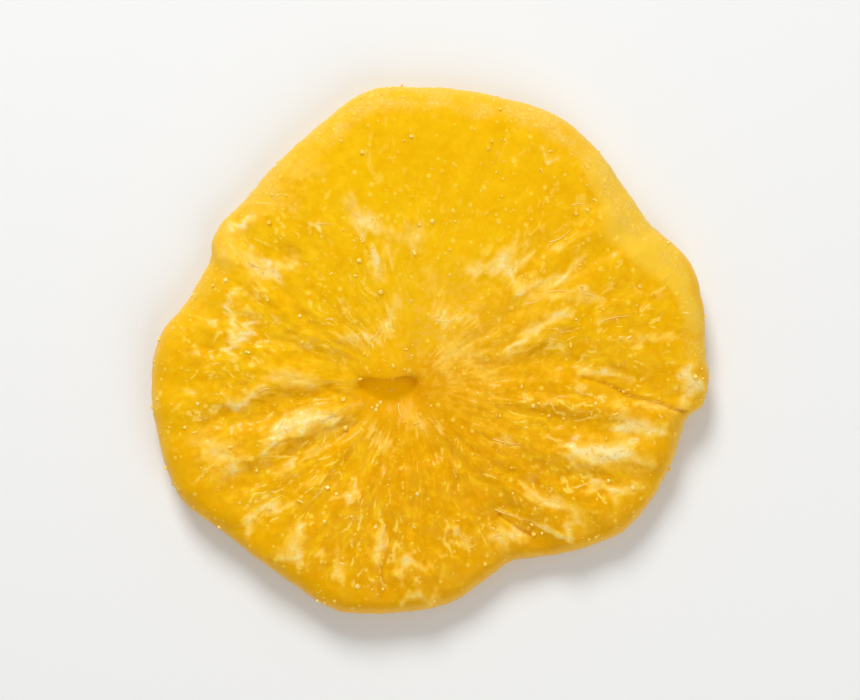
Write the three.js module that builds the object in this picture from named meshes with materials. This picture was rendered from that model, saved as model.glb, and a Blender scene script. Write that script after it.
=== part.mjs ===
// One dried, candied pineapple ring, cut across the fruit and shrunk by drying.
// Millimetres, +Z up. The ring lies flat on z = 0, with the middle of its outline at x = y = 0.
// It is one closed body: a soft, round-edged disc with a small pinched core hole. Its rim is
// scalloped where the fruitlets met the skin, and the flesh is folded in furrows that run out
// from the core like spokes.
import * as THREE from "three";
import { ParametricGeometry } from "three/addons/geometries/ParametricGeometry.js";
import { mergeVertices } from "three/addons/utils/BufferGeometryUtils.js";

const { degToRad, radToDeg, clamp, lerp, smoothstep, euclideanModulo } = THREE.MathUtils;

// Driving sizes of the whole ring. It is thinner by the core, and thick and thin by turns
// round the rim, as waves per turn.
const RING_LENGTH = 66;
const FLESH_THICKNESS = 6.4;
const CORE_THICKNESS = 4.9;
const CORE_REACH = 0.55;
const UNEVENNESS = [
  { waves: 2, height: 0.25, phase: 0.6 },
  { waves: 5, height: 0.2, phase: 2.1 },
];

// The core hole. Drying has drawn it together, off the middle of the ring, and it leans: its
// lower end lies further back, so that from above its wall and the tongue hide the way through.
const HOLE = { x: -4.6, y: -5.5, halfLength: 2.9, halfWidth: 2.1, turn: degToRad(-8) };
const HOLE_ROUNDING = 1.5;
const HOLE_LEAN = { below: 5.4, reach: 18 };

// A tongue of flesh that bulges over the far side of the hole.
const TONGUE = { from: degToRad(97), spread: degToRad(72), overhang: 2.0, rise: 0.9, length: 6.5 };

// The rim, as [degrees, radius in mm] at each lobe and each dip between two lobes.
const RIM = [
  [2, 32.7], [11, 33.0], [19, 32.6], [29, 30.3], [38, 30.1], [53, 31.2], [61, 31.6], [75, 31.1],
  [92, 31.1], [103, 31.6], [114, 29.9], [126, 28.7], [140, 28.2], [152, 28.9], [159, 28.1],
  [169, 29.4], [177, 32.0], [188, 33.2], [201, 33.8], [210, 34.3], [222, 32.4], [240, 32.0],
  [250, 32.8], [262, 31.6], [275, 30.2], [286, 27.8], [292, 27.1], [310, 30.4], [318, 31.8],
  [331, 31.9], [341, 31.6], [347, 31.6], [354, 32.6],
];

// How far in from the rim its rounding reaches, as [degrees, mm]: a long bevel on the right.
const RIM_ROUNDING = [
  [0, 3.2], [24, 5.4], [45, 3.4], [90, 3.2], [150, 3.8], [200, 3.3], [235, 3.0], [290, 2.7], [330, 3.0],
];

// A tear in the rim, where one edge has slid out past the other.
const TEAR = { at: degToRad(346.6), width: degToRad(1.6), reach: degToRad(15), slip: 1.5 };

// Furrows and folds of the upper face: where each begins and ends, half its width, and its
// height above the face, below zero for a furrow.
const FOLDS = [
  { from: [-8.3, -5.1], to: [-24.8, -7.7], half: 1.5, height: -0.75 },
  { from: [-8.3, -3.1], to: [-15.0, 0.2], half: 1.2, height: -0.45 },
  { from: [-9.4, -2.0], to: [-8.0, 1.6], half: 1.0, height: -0.5 },
  { from: [-1.2, 1.6], to: [-1.4, -3.6], half: 1.0, height: -0.4 },
  { from: [-7.7, -8.5], to: [-23.0, -15.6], half: 1.2, height: -0.55 },
  { from: [-6.2, -10.0], to: [-17.0, -21.8], half: 1.2, height: -0.4 },
  { from: [-4.6, -8.0], to: [-5.7, -18.8], half: 1.8, height: -0.7 },
  { from: [-4.3, -20.5], to: [-4.9, -29.0], half: 1.0, height: -0.5 },
  { from: [-1.1, -6.3], to: [3.4, -16.5], half: 1.3, height: -0.6 },
  { from: [3.6, -17.0], to: [7.0, -23.6], half: 1.4, height: -0.4 },
  { from: [7.1, -1.7], to: [16.8, -0.4], half: 2.0, height: -0.5 },
  { from: [17.4, -2.1], to: [31.0, -6.9], half: 1.6, height: -0.7 },
  { from: [12.5, -8.0], to: [23.5, -10.2], half: 1.3, height: -0.5 },
  { from: [13.0, -14.2], to: [25.0, -16.0], half: 1.2, height: -0.4 },
  { from: [8.6, -19.6], to: [13.2, -22.8], half: 1.4, height: -0.4 },
  { from: [9.0, 8.6], to: [20.4, 17.6], half: 1.2, height: -0.35 },
  { from: [-25.0, 5.2], to: [-25.4, -1.0], half: 1.5, height: -0.4 },
  { from: [-21.5, 13.0], to: [-16.0, 10.8], half: 1.1, height: -0.4 },
  { from: [-10.6, -6.6], to: [-18.8, -11.6], half: 1.4, height: 0.6 },
  { from: [-22.6, 5.4], to: [-23.2, -1.6], half: 1.4, height: 0.4 },
  { from: [-23.8, -6.2], to: [-14.0, -2.7], half: 1.1, height: 0.4 },
  { from: [9.6, -0.2], to: [16.2, 3.7], half: 1.4, height: 0.45 },
  { from: [17.5, -12.6], to: [27.0, -12.0], half: 1.6, height: 0.5 },
  { from: [11.8, -17.2], to: [16.6, -19.6], half: 1.3, height: 0.4 },
  { from: [-16.2, -24.8], to: [-14.2, -20.6], half: 1.2, height: 0.4 },
  { from: [-2.8, -27.0], to: [1.5, -25.0], half: 1.3, height: 0.35 },
];

// The spokes: shallow ridges all round the core, as sums of waves per turn, each wave shifted
// against the one before and swept a little sideways towards the rim. On the smooth side of
// the ring they are lower.
const SPOKES = { waves: [13, 19, 28, 37], height: 0.2, shift: 1.7, sweep: 2, begin: 0.1, grown: 0.55 };
const SMOOTH_SIDE = { towards: degToRad(80), spread: degToRad(80), height: 0.3 };

// The underside has deeper furrows, and one flat spot where the ring lay while it dried.
const FURROW_DEPTH = 0.35;
const RESTING_SPOT = { centre: new THREE.Vector2(13, 8), radius: 4.5 };

// How the ring is warped, at its rim: bent across one line, and rippled round its rim. Its
// own weight has pressed the lowest parts of the underside flat.
const BEND = { height: 0.75, along: degToRad(35) };
const RIPPLE = { waves: 3, height: 0.35, phase: degToRad(20) };
const PRESSED_FLAT = 0.6;

// Steps round the ring, and along its section: underside, rim, upper face and hole wall. Those
// of the underside lie closer together by the hole.
const TURN_STEPS = 180;
const SECTION = { underside: 7, rim: 6, upper: 16, hole: 4 };
const UNDERSIDE_GRADING = 1.5;
const SECTION_STEPS = SECTION.underside + SECTION.rim + SECTION.upper + SECTION.hole;
const SAME_POINT = 1e-3;

// The shortest turn from one direction to another.
function turnBetween(a, b) {
  return euclideanModulo(a - b + Math.PI, 2 * Math.PI) - Math.PI;
}

// 1 at a direction, falling smoothly to 0 at the spread on each side of it.
function facing(angle, direction, spread) {
  return 1 - smoothstep(Math.abs(turnBetween(angle, direction)), 0, spread);
}

// A smooth closed curve through [degrees, value] landmarks, read at an angle.
function readRound(landmarks, angle) {
  const count = landmarks.length;
  const degrees = euclideanModulo(radToDeg(angle), 360);
  const found = landmarks.findIndex(([at]) => at > degrees);
  const next = found < 0 ? count : found;
  const at = (k) => landmarks[euclideanModulo(k, count)][0] + 360 * Math.floor(k / count);
  const value = (k) => landmarks[euclideanModulo(k, count)][1];
  const slope = (k) => (value(k + 1) - value(k - 1)) / (at(k + 1) - at(k - 1));
  const last = next - 1;
  const span = at(next) - at(last);
  const f = (degrees - at(last)) / span;
  const bend = f * f * (3 - 2 * f);
  const rise = f * (1 - f) * (1 - f) * slope(last) * span;
  const fall = f * f * (f - 1) * slope(next) * span;
  return lerp(value(last), value(next), bend) + rise + fall;
}

// Past the tear the rim has slid outwards, and it comes back over the tear's reach.
function tearSlip(angle) {
  const past = turnBetween(angle, TEAR.at);
  const opened = smoothstep(past, -TEAR.width / 2, TEAR.width / 2);
  return TEAR.slip * opened * (1 - smoothstep(past, 0, TEAR.reach));
}

function rimPoint(angle) {
  const radius = readRound(RIM, angle) + tearSlip(angle);
  return new THREE.Vector2(Math.cos(angle), Math.sin(angle)).multiplyScalar(radius);
}

function holePoint(angle) {
  const local = angle - HOLE.turn;
  const ellipse = new THREE.Vector2(HOLE.halfLength * Math.cos(local), HOLE.halfWidth * Math.sin(local));
  ellipse.rotateAround(new THREE.Vector2(), HOLE.turn);
  return ellipse.add(new THREE.Vector2(HOLE.x, HOLE.y));
}

// The section in a plane through the core: how far along from the hole's edge to the rim, in
// mm, and how far up, from -1 on the underside to 1 on the upper face.
function sectionPoint(v, length, rimRounding) {
  const rimStart = SECTION.underside;
  const upperStart = rimStart + SECTION.rim;
  const holeStart = upperStart + SECTION.upper;
  const step = v * SECTION_STEPS;
  const outer = length - rimRounding;
  if (step < rimStart) {
    return [lerp(HOLE_ROUNDING, outer, (step / SECTION.underside) ** UNDERSIDE_GRADING), -1];
  }
  if (step < upperStart) {
    const arc = lerp(-Math.PI / 2, Math.PI / 2, (step - rimStart) / SECTION.rim);
    return [outer + rimRounding * Math.cos(arc), Math.sin(arc)];
  }
  if (step < holeStart) {
    return [lerp(outer, HOLE_ROUNDING, (step - upperStart) / SECTION.upper), 1];
  }
  const arc = lerp(Math.PI / 2, (3 * Math.PI) / 2, (step - holeStart) / SECTION.hole);
  return [HOLE_ROUNDING + HOLE_ROUNDING * Math.cos(arc), Math.sin(arc)];
}

// The height that the furrows and folds give a point of the upper face.
function foldHeight(x, y) {
  return FOLDS.reduce((sum, { from, to, half, height }) => {
    const along = new THREE.Vector2(to[0] - from[0], to[1] - from[1]);
    const offset = new THREE.Vector2(x - from[0], y - from[1]);
    const share = clamp(offset.dot(along) / along.lengthSq(), 0, 1);
    const distance = offset.addScaledVector(along, -share).length();
    return sum + height * Math.exp(-((distance / half) ** 2));
  }, 0);
}

// Shallow ridges like spokes, between -1 and 1 of their full height. The side is 1 on the
// upper face and -1 on the underside, whose ridges lie elsewhere.
function spokes(angle, share, side) {
  const total = SPOKES.waves.reduce((sum, waves, i) => {
    const phase = side * (i + 1) * SPOKES.shift + SPOKES.sweep * share;
    return sum + Math.cos(waves * angle + phase);
  }, 0);
  const smooth = facing(angle, SMOOTH_SIDE.towards, SMOOTH_SIDE.spread);
  const strength = lerp(1, SMOOTH_SIDE.height, smooth) * smoothstep(share, SPOKES.begin, SPOKES.grown);
  return (strength * total) / Math.sqrt(SPOKES.waves.length);
}

// The furrows of the underside, which lies flat between them and on the resting spot.
function furrowsBeneath(angle, share, place) {
  const fromSpot = place.distanceTo(RESTING_SPOT.centre);
  const clear = smoothstep(fromSpot, RESTING_SPOT.radius, 2 * RESTING_SPOT.radius);
  return Math.max(0, FURROW_DEPTH * spokes(angle, share, -1)) * clear;
}

// How the middle of the flesh is lifted by the warp, which grows towards the rim.
function warp(angle, share) {
  const bend = BEND.height * Math.cos(2 * (angle - BEND.along));
  const ripple = RIPPLE.height * Math.cos(RIPPLE.waves * angle + RIPPLE.phase);
  return (bend + ripple) * share * share;
}

function thickness(angle, share) {
  const uneven = UNEVENNESS.reduce((sum, { waves, height, phase }) => {
    return sum + height * Math.cos(waves * angle + phase);
  }, 0);
  return lerp(CORE_THICKNESS, FLESH_THICKNESS + uneven, smoothstep(share, 0, CORE_REACH));
}

// A point of the ring's surface: u runs round the ring, v round its section.
function ringSurface(u, v, target) {
  const angle = u * 2 * Math.PI;
  const hole = holePoint(angle);
  const rim = rimPoint(angle);
  const length = hole.distanceTo(rim);
  const [along, up] = sectionPoint(v, length, readRound(RIM_ROUNDING, angle));
  const share = along / length;

  const nearHole = 1 - smoothstep(along, 0, TONGUE.length);
  const tongue = facing(angle, TONGUE.from, TONGUE.spread) * nearHole * smoothstep(up, -0.4, 1);
  const lean = HOLE_LEAN.below * ((1 - up) / 2) * (1 - smoothstep(along, 0, HOLE_LEAN.reach));
  const back = new THREE.Vector2(Math.cos(TONGUE.from), Math.sin(TONGUE.from));
  const place = hole.clone().lerp(rim, share).addScaledVector(back, lean - TONGUE.overhang * tongue);

  const half = thickness(angle, share) / 2;
  const middle = FLESH_THICKNESS / 2 - PRESSED_FLAT + warp(angle, share);
  const folds = foldHeight(place.x, place.y) + SPOKES.height * spokes(angle, share, 1);
  const relief = folds * smoothstep(up, 0, 1) + TONGUE.rise * tongue;
  const beneath = furrowsBeneath(angle, share, place) * smoothstep(-up, 0, 1);
  target.set(place.x, place.y, Math.max(0, middle + up * half + relief) + beneath);
}

// The ring as one closed mesh, with the two ends of each turn merged.
function ringGeometry() {
  const open = new ParametricGeometry(ringSurface, TURN_STEPS, SECTION_STEPS);
  open.deleteAttribute("normal");
  open.deleteAttribute("uv");
  const closed = mergeVertices(open, SAME_POINT);
  closed.computeBoundingBox();
  const middle = closed.boundingBox.getCenter(new THREE.Vector3());
  const scale = RING_LENGTH / (closed.boundingBox.max.x - closed.boundingBox.min.x);
  closed.translate(-middle.x, -middle.y, 0);
  closed.scale(scale, scale, 1);
  closed.computeVertexNormals();
  return closed;
}

const candiedFlesh = new THREE.MeshStandardMaterial({
  name: "candied_flesh",
  color: new THREE.Color("#f0b012"),
  roughness: 0.42,
  metalness: 0,
});

const ring = new THREE.Mesh(ringGeometry(), candiedFlesh);
ring.name = "pineapple_ring";

const part = new THREE.Group();
part.name = "dried_pineapple_ring";
part.add(ring);

export default part;
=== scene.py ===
# %% [markdown]
# # A dried, candied pineapple ring
# The ring is a slice of pineapple that was cooked in syrup and dried. The flesh has turned
# glassy and deep yellow, it has shrunk into furrows that run out from the core, and sugar has
# come out on it as a pale, dull bloom and as loose grains.
# The solid of the ring is loaded first. It is never changed: everything here is fitted to it.

import math
import random

import bpy
import numpy as np
from mathutils import Matrix, Vector, noise


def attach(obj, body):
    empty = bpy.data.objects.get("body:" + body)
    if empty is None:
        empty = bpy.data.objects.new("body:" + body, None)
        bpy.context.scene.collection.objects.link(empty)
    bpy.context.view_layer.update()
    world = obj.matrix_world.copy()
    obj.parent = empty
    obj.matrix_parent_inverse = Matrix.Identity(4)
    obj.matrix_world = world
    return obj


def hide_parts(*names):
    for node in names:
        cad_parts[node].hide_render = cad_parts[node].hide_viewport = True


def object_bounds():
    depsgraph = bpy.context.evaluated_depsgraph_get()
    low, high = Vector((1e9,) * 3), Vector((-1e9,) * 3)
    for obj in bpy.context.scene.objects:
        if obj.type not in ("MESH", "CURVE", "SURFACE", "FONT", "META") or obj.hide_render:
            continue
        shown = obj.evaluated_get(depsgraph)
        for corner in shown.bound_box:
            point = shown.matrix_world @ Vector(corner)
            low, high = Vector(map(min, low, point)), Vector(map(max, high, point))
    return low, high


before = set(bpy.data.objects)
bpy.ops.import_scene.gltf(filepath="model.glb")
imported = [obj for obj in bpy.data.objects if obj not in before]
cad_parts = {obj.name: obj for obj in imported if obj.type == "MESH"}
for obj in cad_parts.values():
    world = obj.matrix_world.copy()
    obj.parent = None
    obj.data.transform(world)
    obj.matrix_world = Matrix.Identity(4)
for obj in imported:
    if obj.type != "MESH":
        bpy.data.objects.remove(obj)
solid_low, solid_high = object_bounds()
MM = 0.001
print("solid, mm:", [round(v / MM, 2) for v in solid_high - solid_low])

# %% [markdown]
# ## The flesh
# The solid is a closed mesh of triangles with all the large folds. Real flesh is soft, so its
# mesh has to be rounder and much finer than that. A copy of the solid's mesh is merged,
# its triangles are joined in pairs to make squares, and a Subdivision Surface is applied. That
# keeps every fold where the solid has it, which a new mesh would only come near to.

# %% Copy the solid's mesh and subdivide it
FLESH_LEVELS = 2


def select_only(piece):
    bpy.ops.object.select_all(action="DESELECT")
    piece.select_set(True)
    bpy.context.view_layer.objects.active = piece


def new_piece(name, mesh):
    mesh.name = name
    piece = bpy.data.objects.new(name, mesh)
    bpy.context.scene.collection.objects.link(piece)
    select_only(piece)
    return piece


flesh = new_piece("ring_flesh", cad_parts["pineapple_ring"].data.copy())
flesh.data.materials.clear()
bpy.ops.object.mode_set(mode="EDIT")
bpy.ops.mesh.select_all(action="SELECT")
bpy.ops.mesh.remove_doubles(threshold=0.01 * MM)
bpy.ops.mesh.tris_convert_to_quads(face_threshold=math.radians(60), shape_threshold=math.radians(60))
bpy.ops.object.mode_set(mode="OBJECT")
squares = sum(len(face.vertices) == 4 for face in flesh.data.polygons)
print("squares:", squares, "triangles left:", len(flesh.data.polygons) - squares)
rounding = flesh.modifiers.new("rounding", "SUBSURF")
rounding.levels = rounding.render_levels = FLESH_LEVELS
bpy.ops.object.modifier_apply(modifier=rounding.name)
print("flesh points:", len(flesh.data.vertices))

# %% [markdown]
# ## Where things are on the ring
# Marks on the fruit are read on a fine grid laid over it, in grid steps. The grid has
# its own middle and step, so a mark is turned into metres by one small function. The rest is
# worked out for every point of the flesh at once: its direction and distance from the core
# that the fibres run out from, and how far in from the rim it lies.

# %% Measure every point of the flesh
GRID_MIDDLE = (454.2, 316.3)
GRID_STEP = 0.2824 * MM
FIBRE_CORE = (446, 329)


def place(column, row):
    """A mark on the grid, in metres from the ring's middle."""
    return np.array([(column - GRID_MIDDLE[0]) * GRID_STEP, (GRID_MIDDLE[1] - row) * GRID_STEP])


def read_points(mesh, what):
    """The place or the normal of every point of a mesh, one row each."""
    values = np.zeros(len(mesh.vertices) * 3)
    mesh.vertices.foreach_get(what, values)
    return values.reshape(-1, 3)


def smoothstep(value, low, high):
    """0 below low, 1 above high, and a smooth rise between."""
    t = np.clip((value - low) / (high - low), 0, 1)
    return t * t * (3 - 2 * t)


def facing(angle, direction, spread):
    """1 towards a direction, in degrees, and 0 at the spread on each side of it."""
    apart = np.abs((np.degrees(angle) - direction + 180) % 360 - 180)
    return 1 - smoothstep(apart, 0, spread)


points = read_points(flesh.data, "co")
normals = read_points(flesh.data, "normal")
from_core = points[:, :2] - place(*FIBRE_CORE)
core_angle = np.arctan2(from_core[:, 1], from_core[:, 0])
core_radius = np.linalg.norm(from_core, axis=1)
angle = np.arctan2(points[:, 1], points[:, 0])
radius = np.linalg.norm(points[:, :2], axis=1)
upper = smoothstep(normals[:, 2], 0.1, 0.7)

RIM_BINS = 360
rim_bin = ((np.degrees(angle) + 360) % 360).astype(int) % RIM_BINS
rim_radius = np.zeros(RIM_BINS)
np.maximum.at(rim_radius, rim_bin, radius)
inward = rim_radius[rim_bin] - radius
print("rim from", round(rim_radius.min() / MM, 1), "to", round(rim_radius.max() / MM, 1), "mm")

# %% [markdown]
# Nothing on fruit is even, so much of what follows is broken up by noise. One kind comes in
# lumps, and the other in streaks that run out from the core, as the fibres do. It is read on a
# circle round the core, because noise read by the angle alone would have a seam behind it.

# %% Noise in lumps and in streaks, at every point of the flesh
def fibre_noise(around, along, seed):
    """Noise in streaks that run out from the core: this many round a radian, and to a metre."""
    turned = zip(np.cos(core_angle), np.sin(core_angle), core_radius, points[:, 2])
    return np.array([
        noise.noise(Vector((c * around + seed, s * around, r * along + 0.3 * z * along)))
        for c, s, r, z in turned
    ])


def lump_noise(size, seed):
    """Noise in lumps of a size in metres, another for each seed."""
    return np.array([noise.noise(Vector(p) / size + Vector((seed, 0, 0))) for p in points])


# %% [markdown]
# ## Pale streaks
# Their paleness is partly dry torn fibre and sugar, and partly a painted highlight on wet facets.
# Where fibres were torn or have dried out, the flesh is pale and a little proud, in streaks
# that mostly run out from the core. They are what gives this ring its face, so each one is
# given: its two ends on the grid, half its width in grid steps, and how pale it is.
# A patch of torn fibres has no even edge, so the spots are moved about before they are measured
# against it: a little sideways, and further along the fibres, which gives it feathered ends.

# %% Place the pale streaks
STREAKS = [
    # on the upper left, from the rim inwards
    ((371, 266), (380, 261), 2.0, 1), ((380, 280), (388, 283), 3.2, 0.93),
    ((388, 283), (400, 281), 2.2, 0.7), ((362, 272), (380, 281), 4.5, 0.51),
    ((382, 289), (385, 291), 1.8, 0.77), ((380, 294), (381, 293), 1.6, 0.77),
    ((373, 294), (372, 319), 2.0, 0.97), ((376, 313), (381, 304), 2.2, 0.97),
    ((384, 255), (395, 256), 5.0, 0.51), ((398, 240), (407, 243), 4.0, 0.51),
    ((407, 265), (409, 265), 1.6, 0.93), ((422, 259), (429, 264), 3.4, 0.7),
    ((424, 266), (426, 268), 2.2, 0.7), ((429, 264), (448, 273), 3.4, 0.62),
    ((446, 264), (449, 268), 2.6, 0.62), ((431, 279), (432, 285), 2.6, 0.95),
    ((436, 275), (438, 281), 2.0, 0.8), ((399, 313), (404, 316), 1.6, 0.62),
    ((418, 297), (422, 300), 1.2, 0.62),
    # round the core
    ((417, 311), (430, 313), 2.0, 0.7), ((430, 313), (437, 305), 2.4, 0.77),
    ((437, 305), (439, 296), 2.0, 0.62), ((459, 304), (474, 304), 2.0, 0.81),
    ((458, 296), (462, 306), 3.0, 0.51), ((466, 316), (476, 326), 5.0, 0.59),
    ((452, 282), (456, 292), 2.0, 0.47), ((443, 339), (445, 345), 2.6, 0.74),
    ((448, 345), (450, 349), 2.6, 0.66), ((431, 350), (437, 357), 2.6, 0.7),
    ((455, 346), (458, 351), 1.3, 0.7), ((460, 318), (462, 330), 3.0, 0.47),
    # on the upper right
    ((472, 284), (484, 280), 3.8, 0.81), ((484, 280), (490, 268), 1.8, 0.7),
    ((488, 284), (495, 277), 1.8, 0.77), ((485, 285), (493, 290), 2.4, 0.85),
    ((493, 290), (511, 286), 2.2, 0.77), ((511, 286), (518, 279), 2.0, 0.77),
    ((506, 294), (518, 294), 2.2, 0.7), ((518, 294), (524, 296), 2.2, 0.7),
    ((495, 295), (506, 290), 2.0, 0.55), ((488, 316), (498, 308), 2.2, 0.85),
    ((498, 308), (511, 301), 2.2, 0.93), ((527, 303), (532, 302), 1.6, 0.62),
    ((539, 311), (553, 309), 1.8, 0.62), ((501, 234), (504, 236), 1.8, 0.93),
    ((514, 257), (520, 256), 1.2, 0.55), ((496, 266), (502, 266), 1.2, 0.55),
    ((492, 273), (495, 271), 1.5, 0.7), ((536, 290), (548, 294), 1.0, 0.51),
    ((505, 270), (518, 262), 1.0, 0.51), ((506, 276), (520, 268), 1.0, 0.51),
    # on the right, by the tear
    ((517, 325), (530, 325), 1.8, 0.77), ((530, 325), (537, 329), 1.8, 0.7),
    ((515, 331), (519, 333), 1.8, 0.77), ((563, 324), (565, 330), 3.2, 1),
    ((565, 330), (560, 339), 3.0, 0.85), ((534, 338), (533, 345), 2.4, 0.7),
    ((533, 346), (547, 349), 3.8, 0.89), ((514, 359), (533, 358), 4.2, 1),
    ((536, 361), (544, 362), 3.6, 0.7), ((542, 339), (553, 339), 1.4, 0.7),
    ((503, 338), (508, 336), 1.8, 0.59), ((503, 352), (508, 355), 1.2, 0.7),
    ((482, 354), (487, 355), 1.8, 0.66),
    # on the lower right
    ((493, 374), (504, 379), 2.6, 0.77), ((504, 379), (512, 381), 2.2, 0.66),
    ((517, 373), (523, 371), 1.6, 0.7), ((523, 371), (531, 375), 1.8, 0.77),
    ((531, 375), (541, 373), 2.2, 0.77), ((483, 383), (499, 389), 1.0, 0.7),
    ((499, 389), (511, 392), 1.2, 0.85), ((517, 386), (512, 392), 2.6, 0.77),
    ((482, 393), (491, 393), 2.8, 0.89), ((458, 392), (466, 391), 1.2, 0.7),
    ((466, 391), (469, 395), 1.2, 0.66), ((460, 398), (469, 397), 1.2, 0.66),
    # along the bottom
    ((442, 408), (446, 402), 2.2, 0.74), ((446, 402), (456, 406), 1.8, 0.62),
    ((442, 418), (456, 419), 2.2, 0.7), ((435, 391), (431, 402), 1.8, 0.85),
    ((415, 402), (416, 412), 1.8, 0.7), ((407, 401), (409, 402), 1.6, 0.7),
    ((401, 392), (396, 399), 2.8, 0.85), ((396, 399), (390, 401), 2.2, 0.62),
    ((399, 400), (399, 405), 1.2, 0.77), ((422, 373), (420, 378), 1.8, 0.93),
    ((420, 378), (415, 377), 1.4, 0.7),
    # on the lower left
    ((396, 381), (389, 380), 2.2, 0.74), ((389, 380), (381, 383), 2.2, 0.74),
    ((381, 383), (379, 391), 2.2, 0.77), ((415, 366), (399, 376), 1.0, 0.55),
    ((400, 362), (390, 367), 1.3, 0.66), ((410, 356), (405, 359), 1.4, 0.62),
    ((424, 339), (413, 343), 1.6, 0.59), ((413, 345), (404, 345), 3.8, 1),
    ((404, 345), (394, 347), 3.4, 0.89), ((394, 348), (387, 357), 3.0, 0.89),
    ((363, 355), (372, 363), 5.0, 0.7), ((371, 364), (373, 366), 1.8, 0.93),
    ((386, 332), (375, 339), 1.8, 0.81), ((373, 336), (375, 337), 2.0, 0.7),
    ((391, 328), (405, 328), 3.0, 0.7), ((340, 333), (341, 341), 1.0, 0.7),
]


def streak_field(spots, marks, spread=1.0):
    """How much each spot lies on any of the marks, from 0 to 1."""
    bare = np.ones(len(spots))
    for start, end, half, strength in marks:
        a, b = place(*start), place(*end)
        along = b - a
        share = np.clip((spots - a) @ along / (along @ along), 0, 1)
        apart = np.linalg.norm(spots - a - share[:, None] * along, axis=1)
        bare *= 1 - strength * np.exp(-((apart / (half * spread * GRID_STEP)) ** 2))
    return 1 - bare


SIDEWAYS, RAGGED, FEATHERED = 0.7 * MM, 0.5 * MM, 1.6 * MM
STREAK_SPREAD = 1.25
sideways = np.stack([lump_noise(2.6 * MM, 20.0), lump_noise(2.6 * MM, 30.0)], axis=1)
ragged = np.stack([lump_noise(0.8 * MM, 40.0), lump_noise(0.8 * MM, 50.0)], axis=1)
feathers = (from_core / core_radius[:, None]) * fibre_noise(24, 140, 4.4)[:, None]
uneven = points[:, :2] + SIDEWAYS * sideways + RAGGED * ragged + FEATHERED * feathers
streaks = streak_field(uneven, STREAKS, STREAK_SPREAD) * upper
print("streaks:", len(STREAKS), "and the share of the flesh they pale:", round(streaks.mean(), 3))

# %% [markdown]
# ## Tears
# Beside the flap on the right the flesh is torn: a thin dark line runs in from the rim. Shorter
# and fainter ones lie lower down and left of the hole. They are too narrow for the solid, so
# they are cut here, and marked in the same way as the streaks.

# %% Place the tears
TEARS = [
    ((517, 327), (526, 330), 0.8, 0.5), ((526, 330), (537, 335), 0.9, 0.8),
    ((537, 335), (549, 338), 0.8, 0.7), ((549, 338), (560, 342), 0.9, 0.9),
    ((483, 385), (490, 390), 0.7, 0.7), ((490, 390), (497, 394), 0.7, 0.7),
    ((436, 388), (434, 418), 0.9, 0.3), ((412, 332), (424, 337), 1.0, 0.4),
]
tears = streak_field(points[:, :2] + 0.25 * MM * sideways, TEARS) * upper
print("tears:", len(TEARS))

# %% [markdown]
# ## Fine relief
# Fibres lie close together and end in small torn lips, most of all on the lower half. The top
# of the ring was sliced more cleanly and stays almost smooth, and so does the rim. No modifier
# knows where the core is, so the points are moved in code instead: each is pushed out or in
# along its normal, by folds and lips along the fibres and by lumps of three sizes. The streaks
# stand a little proud, the tears are cut in, and no point leaves the height of the solid.

# %% Push the fibres and lumps into the flesh
SMOOTHED = 0.85
smooth_top = facing(angle, 80, 100)
smooth_rim = 1 - smoothstep(inward, 1.5 * MM, 5.5 * MM)
past_core = smoothstep(core_radius, 3 * MM, 10 * MM)
rough = (1 - SMOOTHED * smooth_top) * (1 - SMOOTHED * smooth_rim) * past_core
folds = fibre_noise(11, 130, 3.1)
lips = 1 - 2 * np.abs(fibre_noise(19, 330, 7.7))
lumps = lump_noise(3.4 * MM, 5.0)
knobs = lump_noise(1.5 * MM, 2.0)
grit = lump_noise(0.7 * MM, 9.0)
TEAR_DEPTH = 0.34
push = MM * (
    rough * (0.20 * folds + 0.08 * lips)
    + (0.12 + 0.16 * rough) * lumps
    + (0.05 + 0.17 * rough) * knobs
    + (0.02 + 0.02 * rough + 0.04 * smooth_rim) * grit
    + streaks * (0.10 + 0.16 * grit)
    - TEAR_DEPTH * tears
)
points += normals * push[:, None]
points[:, 2] = np.clip(points[:, 2], solid_low.z, solid_high.z)
flesh.data.vertices.foreach_set("co", points.ravel())
flesh.data.update()
print("pushed by", round(push.min() / MM, 2), "to", round(push.max() / MM, 2), "mm")

# %% [markdown]
# ## Hollows and crests
# The hollows are painted darker, partly for syrup and partly as painted shade, and the crests are
# painted pale, partly as dry flesh and partly as painted light. To know which is which, the
# heights are relaxed along the mesh's edges until the small relief is gone. A point that lies
# below the relaxed surface is in a hollow.

# %% Find the hollows and the crests
RELAX_TURNS = 40
FULL_HOLLOW = 0.45 * MM
edges = np.zeros(len(flesh.data.edges) * 2, int)
flesh.data.edges.foreach_get("vertices", edges)
first, second = edges.reshape(-1, 2).T
neighbours = np.bincount(np.concatenate([first, second]), minlength=len(points))
relaxed = points[:, 2].copy()
for _ in range(RELAX_TURNS):
    total = np.bincount(first, relaxed[second], len(points))
    total += np.bincount(second, relaxed[first], len(points))
    relaxed = 0.5 * relaxed + 0.5 * total / neighbours
sunk = (relaxed - points[:, 2]) * upper
print("deepest hollow", round(sunk.max() / MM, 2), "mm, highest crest", round(-sunk.min() / MM, 2), "mm")
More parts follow.
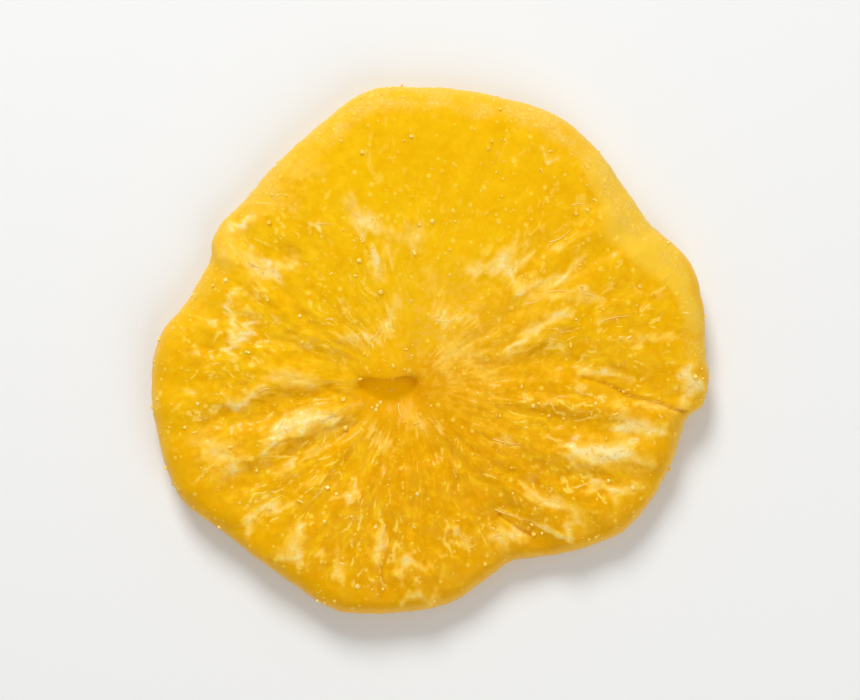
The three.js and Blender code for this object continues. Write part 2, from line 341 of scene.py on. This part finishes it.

# %% [markdown]
# ## Where the rim, the core and the hole are
# The pale band on the rim is partly a bloom of sugar and partly painted light: it is thick along
# the top and the right, where the light falls, and missing along the bottom, which is painted
# deeper in colour as shade. A thin pale line along the very edge is a painted highlight. At the
# upper right the rim was cut at a slant, and that bevel is painted pale too, as lit. The woody
# core is paler than the flesh, and the hole beside it is painted a deep amber shade with a weak
# glow, because what light there is in it has come through the flesh. The upper left is painted
# brighter and the lower right deeper in colour, as painted light and shade.
# Each of these is one number at every point. They are stored on the points, so that the
# material can read them and they stay in place from every side.

# %% Measure the rim, the core and the hole
BEVEL = [
    ((522, 238), (531, 255), 7.5, 0.9), ((535, 265), (549, 277), 11, 0.95),
    ((557, 288), (564, 306), 6, 0.8),
]
CORE_WOOD = (463, 308)
CORE_WOOD_RADIUS = 6.5 * MM
HOLE = (437, 337)
HOLE_STRETCH = (1.3, 1.0)
# The pale rim band: partly sugar bloom, partly painted light on the lit top and right.
bloom_and_lit_rim_band = (1 - smoothstep(inward + 0.8 * MM * lumps, 2.0 * MM, 3.3 * MM)) * np.clip(
    facing(angle, 85, 90) + 0.7 * facing(angle, 25, 60), 0, 1
)
# The slanted bevel is painted pale, as painted light on a face turned towards the light.
bevel = smoothstep(streak_field(points[:, :2] + 0.5 * MM * sideways, BEVEL), 0.32, 0.72)
# A painted highlight: a thin pale line along the very edge of the rim.
edge = 1 - smoothstep(inward, 0.3 * MM, 1.3 * MM)
left_rim = facing(angle, 150, 40) * (1 - smoothstep(inward, 1.5 * MM, 4 * MM))
# Painted shade: the lower rim is painted deeper in colour.
shaded_lower_rim = (1 - smoothstep(inward, 1.5 * MM, 4 * MM)) * facing(angle, 245, 110)
from_wood = np.linalg.norm(points[:, :2] - place(*CORE_WOOD), axis=1)
core = np.exp(-((from_wood / CORE_WOOD_RADIUS) ** 2))
from_hole = np.linalg.norm((points[:, :2] - place(*HOLE)) / np.array(HOLE_STRETCH), axis=1)
mouth = 1 - smoothstep(from_hole, 1.8 * MM, 4.8 * MM)
deep = 1 - smoothstep(points[:, 2], 2.6 * MM, 4.6 * MM)
not_below = smoothstep(normals[:, 2], -0.97, -0.7)
inside = mouth * deep * not_below
# Painted light and shade: the upper left is painted brighter, and the lower right darker.
painted_light_side = facing(angle, 110, 200)

# %% Store the fields on the points
FIELDS = {
    "streak": streaks,
    "painted_light_side": painted_light_side,
    "tear": tears,
    "hollow": np.clip(sunk / FULL_HOLLOW, -1, 1),
    "rim_bloom_and_light": np.clip(bloom_and_lit_rim_band + 0.5 * left_rim, 0, 1),
    "bevel": bevel,
    "edge": edge,
    "mouth": mouth,
    "inside": inside,
    "shaded_lower_rim": shaded_lower_rim,
    "core": core,
    "rough": rough,
}
for name, values in FIELDS.items():
    stored = flesh.data.attributes.new(name, "FLOAT", "POINT")
    stored.data.foreach_set("value", values.astype(np.float32))
    print(name, round(float(values.min()), 2), "to", round(float(values.max()), 2))
bpy.ops.object.shade_smooth()

# %% [markdown]
# ## Shader maths
# A material is easier to read as sums than as a web of nodes. A Wire is one output of a node:
# adding or multiplying wires adds the Math nodes, and its method node makes any other kind.

# %% A wire that can be added and multiplied
class Wire:
    """One output of a shader node."""

    def __init__(self, tree, socket=None):
        self.tree, self.socket = tree, socket

    def node(self, kind, inputs=None, output=0, **settings):
        """A node of a kind: its settings first, then the values or wires of its inputs."""
        made = self.tree.nodes.new(kind)
        for name, value in settings.items():
            setattr(made, name, value)
        for name, value in (inputs or {}).items():
            if isinstance(value, Wire):
                self.tree.links.new(value.socket, made.inputs[name])
            else:
                made.inputs[name].default_value = value
        return Wire(self.tree, made.outputs[output])

    def math(self, operation, *terms):
        return self.node("ShaderNodeMath", dict(enumerate(terms)), operation=operation)

    def vector(self, operation, *terms, output=0):
        return self.node("ShaderNodeVectorMath", dict(enumerate(terms)), output, operation=operation)

    def mix(self, share, low, high):
        """A colour between two colours."""
        return self.node("ShaderNodeMix", {0: share, 6: low, 7: high}, 2, data_type="RGBA")

    def step(self, low, high):
        """0 below low, 1 above high, and a smooth rise between."""
        inputs = {"Value": self, "From Min": low, "From Max": high}
        return self.node("ShaderNodeMapRange", inputs, interpolation_type="SMOOTHSTEP")

    def clamp(self):
        return self.node("ShaderNodeClamp", {"Value": self})

    def cloudy(self, size, detail=2.0, rough=0.5):
        """Noise from 0 to 1, read at these coordinates, in lumps of a size in metres."""
        inputs = {"Vector": self, "Scale": 1 / size, "Detail": detail, "Roughness": rough}
        return self.node("ShaderNodeTexNoise", inputs)

    def __add__(self, other):
        return self.math("ADD", self, other)

    def __radd__(self, other):
        return self.math("ADD", other, self)

    def __sub__(self, other):
        return self.math("SUBTRACT", self, other)

    def __rsub__(self, other):
        return self.math("SUBTRACT", other, self)

    def __mul__(self, other):
        return self.math("MULTIPLY", self, other)

    def __rmul__(self, other):
        return self.math("MULTIPLY", other, self)


def colour(red, green, blue):
    """A colour as a screen shows it, from 0 to 255, turned into light."""
    parts = [c / 255 for c in (red, green, blue)]
    return (*[c / 12.92 if c < 0.04045 else ((c + 0.055) / 1.055) ** 2.4 for c in parts], 1)


def new_material(name, piece):
    """A material on a piece: its shader, its coordinates, and a function that feeds the shader."""
    made = bpy.data.materials.new(name)
    made.use_nodes = True
    piece.data.materials.clear()
    piece.data.materials.append(made)
    shader = made.node_tree.nodes["Principled BSDF"]
    coordinates = Wire(made.node_tree).node("ShaderNodeTexCoord", output="Object")

    def feed(**values):
        """Wires and constants, by the names of the shader's inputs."""
        for name, value in values.items():
            socket = shader.inputs[name.replace("_", " ")]
            if isinstance(value, Wire):
                made.node_tree.links.new(value.socket, socket)
            else:
                socket.default_value = value

    return coordinates, feed


# %% [markdown]
# ## The flesh's finish
# Candied flesh lets light in, so it glows a deep yellow. It is painted brighter on the upper left, as
# painted light, and darker and more orange on the lower right and along the lower rim, as painted
# shade, and in the hollows, partly for syrup and partly as painted shade. On the ring that shows
# as layers, one over the other, and the material is made in the same order: the yellow itself
# with its fibres, the core and the hollows, the bloom on the rim, the pale streaks, and last the
# specks and the hole. Each layer
# is a Mix of what lies below it with one colour. An image could hold all of this too, but it
# would stretch over the sides, and noise in the piece's own coordinates doesn't.

# %% The flesh's colours
YELLOW = colour(244, 192, 4)
ORANGE = colour(232, 167, 2)
AMBER = colour(214, 138, 0)
LIGHT = colour(251, 204, 20)
PALE = colour(254, 201, 66)
FROST_AND_SHEEN = colour(255, 216, 112)
WHITE_HIGHLIGHT = colour(255, 233, 176)
print("yellow, as light:", [round(part, 3) for part in YELLOW[:3]])

# %% [markdown]
# The fibres' noise runs out from the core, as it did in the mesh: it is read on a circle round
# the core, and the distance is its third number. Fibres wander, so the point is first moved
# aside by a broad noise. Small round specks lie in and on the flesh. They are the middles of
# Voronoi cells, and only some of the cells get one.

# %% Directions, fibres and specks for the material
DRIFT = 6 * MM
DRIFT_SIZE = 6 * MM
here, flesh_feed = new_material("candied_flesh", flesh)
core_x, core_y = place(*FIBRE_CORE)
flat = here.vector("SUBTRACT", here.vector("MULTIPLY", here, (1, 1, 0)), (core_x, core_y, 0))
drift = here.node("ShaderNodeTexNoise", {"Vector": here, "Scale": 1 / DRIFT_SIZE}, "Color")
aside = here.vector("MULTIPLY_ADD", drift, (DRIFT, DRIFT, 0), (-DRIFT / 2, -DRIFT / 2, 0))
outwards = here.vector("ADD", flat, aside)
distance = here.vector("LENGTH", outwards, output="Value")
direction = here.vector("NORMALIZE", outwards)


def streaky(around, along, detail=2.0):
    """Noise from 0 to 1 in streaks that run out from the core."""
    ring = here.node("ShaderNodeVectorMath", {0: direction, "Scale": around}, operation="SCALE")
    where = here.vector("ADD", ring, here.node("ShaderNodeCombineXYZ", {"Z": distance * along}))
    return here.node("ShaderNodeTexNoise", {"Vector": where, "Scale": 1.0, "Detail": detail})


def field(name):
    """One of the fields stored on the flesh's points."""
    return here.node("ShaderNodeAttribute", attribute_name=name, output="Fac")


def specks(size, radius, kept):
    """Soft round dots: the radius is a share of a cell, and a share of the cells gets one."""
    inputs = {"Vector": here, "Scale": 1 / size}
    near = here.node("ShaderNodeTexVoronoi", inputs)
    cell = here.node("ShaderNodeTexVoronoi", inputs, "Color")
    pick = here.vector("DOT_PRODUCT", cell, (1, 0, 0), output="Value")
    return (1 - near.step(0.4 * radius, radius)) * pick.step(1 - kept, 1.02 - kept)


# %% The noises that the layers share, from the broadest to the finest
cloud = here.cloudy(8 * MM, 3)
broad = streaky(4, 70)
fibre = streaky(20, 170, 3)
dash = streaky(34, 560, 1)
mottle = here.cloudy(2.2 * MM, 3, 0.55)
grain = here.cloudy(0.8 * MM, 3, 0.6)
dust = here.cloudy(0.3 * MM, 2, 0.6)
dots = (specks(1.7 * MM, 0.22, 0.5) + specks(1.0 * MM, 0.26, 0.3)).clamp()
rough_side = field("rough")

# %% [markdown]
# The upper left is painted the brightest yellow and the lower right a deeper orange, as painted
# light and shade, and clouds shift the border between them.
# Dark and light fibres cross it, more of them on the rough side, and none by the core, where
# they would crowd into rays.

# %% Ground and fibres
patchy = 0.5 * (cloud - 0.5) + 0.6 * (broad - 0.5) + 1.0 * (mottle - 0.5)
# The yellow is painted brighter on the upper left and more orange on the lower right, as painted light
# and shade, with random tone over it.
tone_and_painted_light = (0.9 * field("painted_light_side") + patchy + 0.05).clamp()
base = here.mix(tone_and_painted_light, ORANGE, YELLOW)
away = distance.step(3 * MM, 13 * MM)
broken = away * mottle.step(0.38, 0.62)
base = here.mix(fibre.step(0.54, 0.70) * broken * (0.08 + 0.27 * rough_side), base, AMBER)
base = here.mix((1 - fibre).step(0.54, 0.68) * broken * (0.2 + 0.5 * rough_side), base, LIGHT)
base = here.mix(grain.step(0.5, 0.64) * (0.2 + 0.15 * rough_side), base, LIGHT)
base = here.mix(grain.step(0.48, 0.36) * (0.06 + 0.08 * rough_side), base, AMBER)

# %% [markdown]
# The core is duller, and it breaks up into grains. The hollows are painted a deeper amber, partly
# for syrup and partly as painted shade, and the crests between them are painted pale, partly worn
# and partly as painted light. Short pale flecks are the ends of cut fibres.

# %% Core, hollows, crests and flecks
CORE_TINT = colour(243, 186, 62)
LIT_BEVEL_TINT = colour(243, 200, 60)
FLECK_TINT = colour(255, 213, 88)
hollow = field("hollow")
base = here.mix(field("core") * (0.1 + 0.9 * grain.step(0.46, 0.6)), base, CORE_TINT)
# Painted light: the slanted bevel on the upper right is painted paler.
base = here.mix(field("bevel") * (0.7 + 0.3 * mottle), base, LIT_BEVEL_TINT)
# Painted shade: the hollows are darkened towards amber, partly for syrup.
base = here.mix(hollow.step(0.1, 1.0) * 0.52, base, AMBER)
worn_and_lit = mottle.step(0.42, 0.6) * (0.3 + 0.7 * grain.step(0.42, 0.62))
# Painted light: the crests are painted paler, partly for wear.
base = here.mix((0 - hollow).step(0.15, 0.9) * rough_side * worn_and_lit * 0.6, base, PALE)
flecks = dash.step(0.60, 0.65) * grain.step(0.40, 0.50) * here.cloudy(4 * MM).step(0.42, 0.52)
base = here.mix(flecks * away * (0.06 + 0.84 * rough_side), base, FLECK_TINT)

# %% [markdown]
# Along the bottom the rim is painted deeper in colour, as painted shade, and a thin pale line along
# the very edge is a painted highlight. Elsewhere sugar has dried on it, in a crust that is thin
# enough to be broken up by every lump below it. Along the lit top and right that pale crust is
# partly painted light.

# %% Painted shade on the lower rim, painted edge highlight, and bloom
LOWER_RIM_SHADE = colour(238, 174, 0)
CRUST, CRUST_DUST = colour(234, 188, 62), colour(242, 204, 98)
# Painted shade deepens the lower rim.
base = here.mix(field("shaded_lower_rim") * 0.5, base, LOWER_RIM_SHADE)
# A painted highlight lines the very edge.
base = here.mix(field("edge") * 0.35, base, PALE)
speckle = mottle.step(0.36, 0.62) * (0.5 + 0.5 * grain.step(0.35, 0.6))
rim_bloom_and_light = field("rim_bloom_and_light")
# The bloom is partly sugar crust and partly painted light on the lit top and right of the rim.
bloom_and_rim_light = (rim_bloom_and_light * (0.25 + 1.2 * speckle)).clamp()
crust = here.mix(dust.step(0.45, 0.65), CRUST, CRUST_DUST)
base = here.mix(bloom_and_rim_light * 0.85, base, crust)

# %% [markdown]
# A streak is palest in its middle, where the torn fibres are driest and a painted highlight lies,
# and its edge is ragged. So its field is first roughened by three noises, and then three steps of
# it give three tints, one inside the other: pale flesh, frost with a painted sheen, and a white
# painted highlight. Small pits in it show the flesh below.

# %% Pale streaks
PIT_TINT = colour(238, 176, 56)
streak = field("streak")
ragged_edge = 0.6 * (mottle - 0.5) * streak.step(0.02, 0.3) + 0.5 * (grain - 0.5) + 0.3 * (dash - 0.5)
torn_fibre_and_highlight = streak + ragged_edge
patch = torn_fibre_and_highlight.step(0.05, 0.78)
frost_and_sheen = torn_fibre_and_highlight.step(0.40, 1.05) * (0.35 + 0.65 * dust.step(0.38, 0.58))
base = here.mix(patch * 0.85, base, PALE)
base = here.mix(frost_and_sheen, base, FROST_AND_SHEEN)
# Painted highlight: the whitest middle of the strongest streaks.
base = here.mix(torn_fibre_and_highlight.step(0.70, 1.15) * (0.4 + 0.6 * grain), base, WHITE_HIGHLIGHT)
pits = frost_and_sheen * here.cloudy(0.5 * MM, 1).step(0.60, 0.70) * 0.7
base = here.mix(pits, base, PIT_TINT)

# %% [markdown]
# In the hole the flesh is lit from behind. Subsurface scattering reaches only a few
# millimetres, so the hole's wall is given that light as a weak emission of its own, and its
# base is darkened, or the two would add up to more than the flesh around it.

# %% Specks, tears and the hole
SPECK_TINT = colour(255, 216, 76)
TEAR_SHADE_TINT = colour(200, 124, 0)
MOUTH_SHADE_TINT = colour(230, 166, 2)
INSIDE_TINT = colour(120, 76, 0)
THROUGH_LIGHT = colour(222, 160, 0)
base = here.mix(dots * 0.7, base, SPECK_TINT)
# Painted shade: the tears are painted dark in their narrow slits.
base = here.mix(field("tear") * 0.6, base, TEAR_SHADE_TINT)
# Painted shade: round the hole the flesh is painted a deeper amber.
base = here.mix(field("mouth") * 0.5, base, MOUTH_SHADE_TINT)
inside_hole = field("inside")
base = here.mix(inside_hole * 0.75, base, INSIDE_TINT)
glowing = here.mix(inside_hole, (0, 0, 0, 1), THROUGH_LIGHT)

# %% [markdown]
# The last relief is too fine for a mesh: fibres, mottle and dust a tenth of a millimetre high.
# It goes through a Bump. Sugar makes the surface dull and syrup makes it shine, so roughness
# follows the pale layers, and a thin coat lies in wet spots. Red light goes deepest into the
# flesh and blue hardly at all, which is what makes the yellow so deep.

# %% Gloss, bump and light in the flesh
BUMP_HEIGHT = 0.25 * MM
dry = (patch + 0.7 * bloom_and_rim_light).clamp()
coarse = 0.22 * fibre * rough_side * away + 0.55 * mottle
fine = 0.3 * grain + 0.15 * dust * (0.3 + streak + rim_bloom_and_light)
flesh_height = coarse + fine + 0.35 * dots
bump = here.node("ShaderNodeBump", {"Height": flesh_height, "Strength": 0.6, "Distance": BUMP_HEIGHT})
wet = mottle.step(0.42, 0.56) * (0.03 + 0.2 * rough_side)
flesh_feed(
    Base_Color=base,
    Roughness=0.32 + 0.26 * dry + 0.1 * grain,
    Normal=bump,
    Coat_Weight=wet,
    Coat_Roughness=0.18,
    Specular_IOR_Level=0.18,
    Specular_Tint=colour(255, 226, 120),
    Subsurface_Weight=0.6,
    Subsurface_Radius=(0.8, 0.5, 0.07),
    Subsurface_Scale=2.0 * MM,
    Emission_Color=glowing,
    Emission_Strength=0.74,
)

# %% Hand the flesh over
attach(flesh, "root")
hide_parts("pineapple_ring")
print("nodes in its material:", len(flesh.data.materials[0].node_tree.nodes))
print("flesh triangles:", sum(len(face.vertices) - 2 for face in flesh.data.polygons))

# %% [markdown]
# ## Sugar grains
# Loose sugar sticks to the ring: small, blunt crystals, most of them under half a millimetre.
# Three crystals are modelled from primitives. Copies of them, each turned and scaled by a
# seeded draw, are set into the flesh where a random face of it is, and joined into one piece.

# %% Model three crystals
GRAIN_SIZE = 0.29 * MM


def knock_about(seed, offset):
    bpy.ops.object.mode_set(mode="EDIT")
    bpy.ops.mesh.select_all(action="SELECT")
    bpy.ops.transform.vertex_random(offset=offset, seed=seed)
    bpy.ops.object.mode_set(mode="OBJECT")


def crystal_cube():
    bpy.ops.mesh.primitive_cube_add(size=GRAIN_SIZE)
    bpy.ops.object.mode_set(mode="EDIT")
    bpy.ops.mesh.bevel(offset=0.14 * GRAIN_SIZE, segments=1)
    bpy.ops.object.mode_set(mode="OBJECT")
    knock_about(1, 0.04 * GRAIN_SIZE)
    return bpy.context.object


def crystal_lump():
    bpy.ops.mesh.primitive_ico_sphere_add(subdivisions=1, radius=0.55 * GRAIN_SIZE)
    knock_about(2, 0.16 * GRAIN_SIZE)
    return bpy.context.object


def crystal_splinter():
    bpy.ops.mesh.primitive_cube_add(size=0.6 * GRAIN_SIZE)
    bpy.ops.object.mode_set(mode="EDIT")
    bpy.ops.transform.resize(value=(2.6, 0.9, 0.8))
    bpy.ops.mesh.bevel(offset=0.1 * GRAIN_SIZE, segments=1)
    bpy.ops.object.mode_set(mode="OBJECT")
    knock_about(3, 0.05 * GRAIN_SIZE)
    return bpy.context.object


bpy.ops.object.select_all(action="DESELECT")
crystals = [crystal_cube(), crystal_lump(), crystal_splinter()]
print("crystal faces:", [len(c.data.polygons) for c in crystals])

# %% [markdown]
# Sugar falls in clumps, and some more of it hangs on the edge of the tongue of flesh over the
# hole. So each face of the flesh gets a weight: its area, more in a clump or by the tongue, and
# nothing if it faces down or lies close to the floor.

# %% Weigh the faces
CLUMP_SIZE = 5 * MM
TONGUE_EDGE = (438, 329)
TONGUE_REACH = 1.6 * MM
LOWEST_GRAIN = 1.2 * MM


def read_faces(mesh, field_name, width):
    values = np.zeros(len(mesh.polygons) * width)
    mesh.polygons.foreach_get(field_name, values)
    return values.reshape(-1, width)


centres = read_faces(flesh.data, "center", 3)
face_normals = read_faces(flesh.data, "normal", 3)
areas = read_faces(flesh.data, "area", 1)[:, 0]
clumps = np.array([noise.noise(Vector(c) / CLUMP_SIZE) for c in centres])
from_tongue = np.linalg.norm(centres[:, :2] - place(*TONGUE_EDGE), axis=1)
by_tongue = np.exp(-((from_tongue / TONGUE_REACH) ** 2))
weights = areas * (face_normals[:, 2] > -0.1) * (centres[:, 2] > LOWEST_GRAIN)
weights *= np.clip(0.5 + 1.6 * clumps, 0.06, 2) + 3 * by_tongue
print("faces that may get a grain:", int((weights > 0).sum()))

# %% Scatter the grains
GRAIN_COUNT = 480
GRAIN_SCALES = (0.4, 0.5, 0.6, 0.7, 0.9, 1.2, 1.6)
CRYSTAL_SHARES = (3, 5, 4)
FULL_TURN = 6.28
draw = random.Random(8)
chosen = draw.choices(range(len(weights)), weights=weights.tolist(), k=GRAIN_COUNT)
grains = []
for index in chosen:
    crystal = draw.choices(crystals, weights=CRYSTAL_SHARES)[0]
    size = draw.choice(GRAIN_SCALES)
    if centres[index][2] + 0.3 * size * GRAIN_SIZE > solid_high.z:
        continue
    turn_angle = draw.uniform(0, FULL_TURN)
    turn = Matrix.Rotation(turn_angle, 4, Vector([draw.uniform(-1, 1) for _ in range(3)]))
    spot = Vector(centres[index]) + Vector(face_normals[index]) * 0.02 * size * GRAIN_SIZE
    grain_copy = bpy.data.objects.new("grain", crystal.data.copy())
    grain_copy.data.transform(Matrix.Translation(spot) @ turn @ Matrix.Scale(size, 4))
    bpy.context.scene.collection.objects.link(grain_copy)
    grains.append(grain_copy)
for crystal in crystals:
    bpy.data.objects.remove(crystal)


def join_all(pieces, name):
    """Many small pieces made into one."""
    bpy.ops.object.select_all(action="DESELECT")
    for piece in pieces:
        piece.select_set(True)
    bpy.context.view_layer.objects.active = pieces[0]
    bpy.ops.object.join()
    pieces[0].name = pieces[0].data.name = name
    triangles = sum(len(face.vertices) - 2 for face in pieces[0].data.polygons)
    print(name, "made of", len(pieces), "pieces, triangles:", triangles)
    return pieces[0]


sugar = join_all(grains, "sugar_grains")

# %% [markdown]
# A grain this small takes the colour of the flesh behind it. So the sugar is a pale yellow, from
# more to less syrup, and only its gloss sets it apart. Glass would be truer, but at this size
# it would show as noise.

# %% The sugar's finish
SYRUPY_SUGAR, DRY_SUGAR = colour(255, 208, 66), colour(255, 226, 116)
here, sugar_feed = new_material("sugar", sugar)
sugar_feed(
    Base_Color=here.mix(here.cloudy(2 * MM).step(0.35, 0.65), SYRUPY_SUGAR, DRY_SUGAR),
    Roughness=0.15 + 0.3 * here.cloudy(0.4 * MM),
    Specular_IOR_Level=0.4,
)
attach(sugar, "root")

# %% [markdown]
# ## Loose fibres
# Where the flesh tore, single fibres came loose and dried on it: fine pale threads, a few
# millimetres long and hardly thicker than a hair. Each one is a path of five points laid on the
# flesh along a streak, and a round bevel gives it its thickness. Then all are joined.

# %% Lay fibres along some of the streaks
FIBRE_COUNT = 34
FIBRE_RADIUS = 0.07 * MM
FIBRE_LENGTHS = (1.2 * MM, 3.4 * MM)
FIBRE_BOW = 0.45 * MM
threads = []
for start, end, half, _ in draw.sample(STREAKS, FIBRE_COUNT):
    a, b = place(*start), place(*end)
    along = (b - a) / np.linalg.norm(b - a)
    beside = np.array([-along[1], along[0]])
    a = a + draw.uniform(-0.8, 0.8) * half * GRID_STEP * beside - draw.uniform(0, 0.8) * MM * along
    length = draw.uniform(*FIBRE_LENGTHS)
    bow = draw.uniform(-FIBRE_BOW, FIBRE_BOW)
    bpy.ops.curve.primitive_nurbs_path_add()
    thread = bpy.context.object
    path = thread.data.splines[0].points
    for i, point in enumerate(path):
        share = i / (len(path) - 1)
        x, y = a + share * length * along + bow * math.sin(math.pi * share) * beside
        _, spot, _, _ = flesh.ray_cast(Vector((x, y, 1)), Vector((0, 0, -1)))
        point.co = (x, y, spot.z + 0.3 * FIBRE_RADIUS, 1)
        point.radius = 1 - 0.6 * share
    thread.data.bevel_depth = FIBRE_RADIUS
    thread.data.bevel_resolution = 1
    thread.data.use_fill_caps = True
    bpy.ops.object.convert(target="MESH")
    threads.append(thread)
fibres_piece = join_all(threads, "loose_fibres")

# %% [markdown]
# A dry fibre is paler than the flesh, and darker again where some syrup clings to it.

# %% The fibres' finish
SYRUPY_FIBRE, DRY_FIBRE = colour(252, 206, 80), colour(255, 230, 140)
here, fibres_feed = new_material("fibre", fibres_piece)
fibres_feed(
    Base_Color=here.mix(here.cloudy(0.8 * MM), SYRUPY_FIBRE, DRY_FIBRE),
    Roughness=0.25 + 0.3 * here.cloudy(0.5 * MM),
    Specular_IOR_Level=0.4,
)
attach(fibres_piece, "root")

# %% [markdown]
# ## Floor
# The ring lies on a plain pale floor, big enough to fill the view from any side. It is a hair
# below the ring, so that the two surfaces don't fight where the ring rests.

# %% Floor
FLOOR_SIZE = 1.6
FLOOR_GAP = 0.02 * MM
bpy.ops.object.select_all(action="DESELECT")
bpy.ops.mesh.primitive_plane_add(size=FLOOR_SIZE, location=(0, 0, -FLOOR_GAP))
floor = bpy.context.object
floor.name = "floor"
here, floor_feed = new_material("floor", floor)
floor_feed(Base_Color=(0.86, 0.86, 0.85, 1), Roughness=0.8)

# %% [markdown]
# ## Light
# One soft light stands beyond the top of the ring, low enough that every fold has a lit side and
# a soft shadow. A wider, weaker one opposite it keeps the shadows from going brown, and a white
# world fills the rest, as the white walls of a small studio would.

# %% Light
def soft_light(name, where, size, power):
    """A round soft light at a place, turned towards the ring."""
    light = bpy.data.lights.new(name, "AREA")
    light.shape, light.size, light.energy = "DISK", size, power
    lamp = bpy.data.objects.new(name, light)
    lamp.location = where
    lamp.rotation_euler = (-Vector(where)).to_track_quat("-Z", "Y").to_euler()
    bpy.context.scene.collection.objects.link(lamp)


soft_light("key", where=(-0.12, 0.44, 0.42), size=0.24, power=2.75)
soft_light("fill", where=(0.25, -0.35, 0.38), size=0.45, power=0.9)
STUDIO_STRENGTH = 0.40
world = bpy.data.worlds.new("studio")
world.use_nodes = True
background = world.node_tree.nodes["Background"]
background.inputs["Color"].default_value = (1, 1, 1, 1)
background.inputs["Strength"].default_value = STUDIO_STRENGTH
bpy.context.scene.world = world

# %% [markdown]
# ## Camera
# The camera looks straight down, and a long lens keeps the rim from being seen at a slant. Its
# height follows from the width it has to take in. Colours are shown as they are, with no film
# look, because the usual one turns a strong yellow pale.

# %% Camera
VIEW_WIDTH = 100 * MM
LENS, SENSOR = 90, 36
camera_data = bpy.data.cameras.new("camera")
camera_data.lens, camera_data.sensor_width = LENS, SENSOR
camera_data.clip_start, camera_data.clip_end = 0.01, 10
camera = bpy.data.objects.new("camera", camera_data)
camera.location = (0, 0, VIEW_WIDTH * LENS / SENSOR + solid_high.z)
bpy.context.scene.collection.objects.link(camera)
bpy.context.scene.camera = camera
bpy.context.scene.view_settings.view_transform = "Standard"
print("camera height, mm:", round(camera.location.z / MM, 1))
